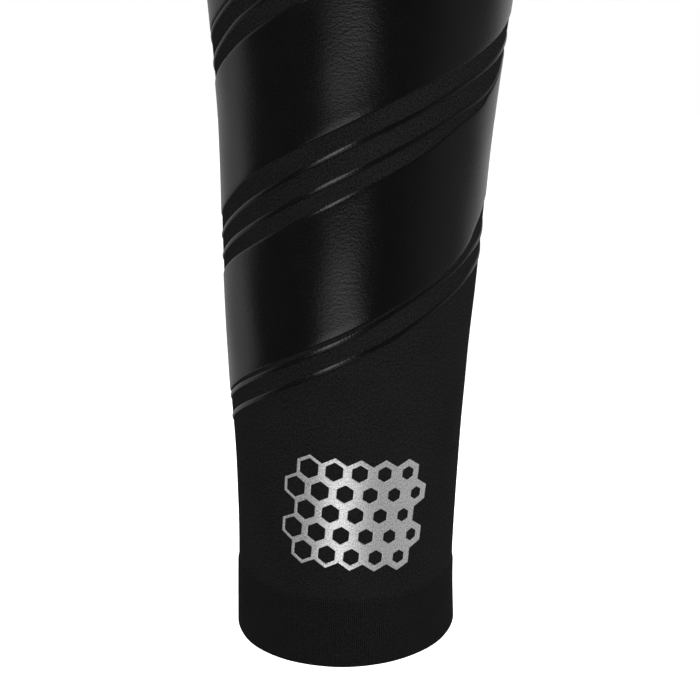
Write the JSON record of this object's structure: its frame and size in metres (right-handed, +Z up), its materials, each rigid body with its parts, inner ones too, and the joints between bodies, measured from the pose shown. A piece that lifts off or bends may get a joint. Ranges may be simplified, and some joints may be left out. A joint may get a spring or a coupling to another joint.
{
  "type": "calf compression sleeve",
  "caption": "Knitted tube worn on the calf, with hem bands, glossy film panels and lines that climb round it, and a reflective honeycomb patch at the ankle.",
  "frame": {"origin": "middle of the ankle opening, on the axis of the leg that the sleeve is worn on", "axes": "+Z up the leg to the knee, -Y to the shin side, +X to the right of someone who looks at the shin side"},
  "size_m": [0.102, 0.1085, 0.3207],
  "materials": {
    "knit": "matt fine-gauge nylon and elastane knit",
    "hem_knit": "matt doubled knit with fine upright wales",
    "film": "heat-bonded polyurethane film, satin gloss",
    "reflective": "silver reflective transfer film"
  },
  "bodies": {
    "root": {"sleeve_body": "knit", "ankle_hem": "hem_knit", "knee_hem": "hem_knit", "film_panel_low": "film", "film_panel_middle": "film", "film_panel_high": "film", "film_panel_top": "film", "film_panel_last": "film", "film_line_low_upper": "film", "film_line_low_lower": "film", "film_line_middle_upper": "film", "film_line_middle_lower": "film", "film_line_high_upper": "film", "film_line_high_lower": "film", "film_line_top_upper": "film", "film_line_top_lower": "film", "film_line_last_upper": "film", "film_line_last_lower": "film", "reflective_patch": "reflective"}
  },
  "joints": []
}
